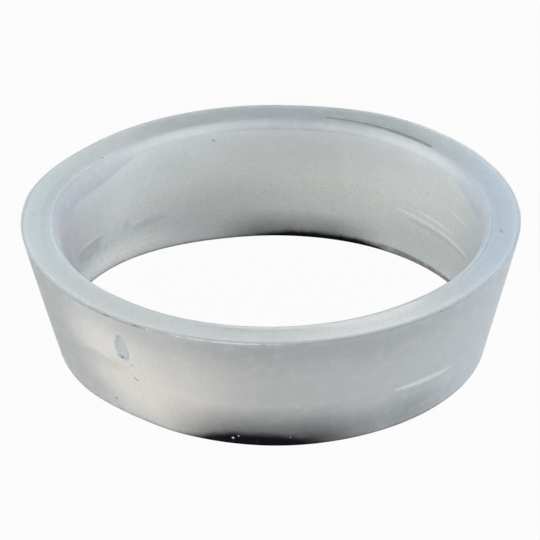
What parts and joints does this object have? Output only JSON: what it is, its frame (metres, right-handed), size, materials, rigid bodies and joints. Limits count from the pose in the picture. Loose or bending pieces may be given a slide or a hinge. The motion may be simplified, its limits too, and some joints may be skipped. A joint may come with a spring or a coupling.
{
  "type": "tapered trap washer",
  "caption": "Tapered ring washer of milky plastic for a slip joint on a sink trap: flat rim face, round bore with an eased mouth, conical outside and thin foot.",
  "frame": {"origin": "on the washer's axis, in the plane of its foot", "axes": "+Z along the axis, from the thin foot to the wide rim face; +X and +Y across it, with the gate mark on the cone at 127 degrees clockwise from +X"},
  "size_m": [0.0452, 0.0452, 0.0124],
  "materials": {
    "polyethylene": "milky translucent natural polyethylene, satin as moulded"
  },
  "bodies": {
    "root": {"washer": "polyethylene"}
  },
  "joints": []
}
